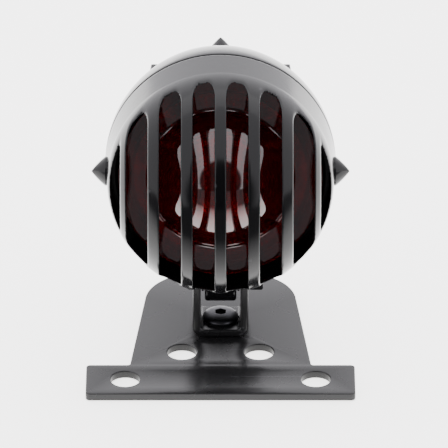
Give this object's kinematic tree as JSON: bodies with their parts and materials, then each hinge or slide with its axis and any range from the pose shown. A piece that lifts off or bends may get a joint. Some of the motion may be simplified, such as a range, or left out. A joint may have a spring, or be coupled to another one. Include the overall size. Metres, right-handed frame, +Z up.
{
  "type": "motorcycle tail light",
  "caption": "Round motorcycle tail light: domed grille of vertical bars over a red lens, studded bullet housing, tilting clevis on a drilled flat mounting plate.",
  "frame": {"origin": "on the mounting plate's underside, half way between its two outer bolt holes", "axes": "+Z up from the plate, -Y the way the light shines, +X to the right of someone who looks at the lens"},
  "size_m": [0.0778, 0.0903, 0.0966],
  "materials": {
    "gloss_black": "gloss black enamel",
    "satin_black": "satin black powder coat",
    "black_steel": "black oxide",
    "zinc_plate": "dull zinc plate",
    "black_rubber": "matte",
    "red_lens": "clear red, moulded with fine rings",
    "bright_reflector": "bright",
    "brass": "dull",
    "clear_glass": "clear",
    "tungsten": "dull",
    "brown_insulator": "matte"
  },
  "bodies": {
    "base": {"base_plate": "satin_black", "swivel_screw": "black_steel"},
    "clevis": {"clevis_bracket": "satin_black", "pivot_bolt": "black_steel", "pivot_nut": "black_steel", "pivot_washer_left": "zinc_plate", "pivot_washer_right": "zinc_plate"},
    "head": {"housing_shell": "gloss_black", "grille_cover": "gloss_black", "grille_screw_left": "gloss_black", "grille_screw_right": "gloss_black", "housing_stud_1": "gloss_black", "housing_stud_2": "gloss_black", "housing_stud_3": "gloss_black", "housing_stud_4": "gloss_black", "housing_stud_5": "gloss_black", "housing_stud_6": "gloss_black", "housing_stud_7": "gloss_black", "housing_stud_8": "gloss_black", "red_lens": "red_lens", "lens_gasket": "black_rubber", "mount_lug": "gloss_black", "lug_washer": "zinc_plate", "lug_nut": "zinc_plate", "reflector": "bright_reflector", "bulb_socket": "zinc_plate", "socket_insulator": "brown_insulator", "cable_grommet": "black_rubber"},
    "bulb": {"bulb_base": "brass", "bulb_glass": "clear_glass", "bulb_filament": "tungsten", "contact_plunger_left": "brass", "contact_plunger_right": "brass", "contact_spring_left": "zinc_plate", "contact_spring_right": "zinc_plate"}
  },
  "joints": [
    {"name": "bracket_swivel", "type": "hinge", "parent": "base", "child": "clevis", "pos_m": [0, 0.0298, 0.0027], "axis": [0, 0, 1], "range_deg": [-30, 30]},
    {"name": "head_tilt", "type": "hinge", "parent": "clevis", "child": "head", "pos_m": [0, 0.0298, 0.02], "axis": [1, 0, 0], "range_deg": [-30, 30]},
    {"name": "bulb_press", "type": "slide", "parent": "head", "child": "bulb", "axis": [0, 0.9848, -0.1736], "range_m": [0, 0.002], "stiffness_N_per_m": 1500, "springref_m": -0.002}
  ]
}
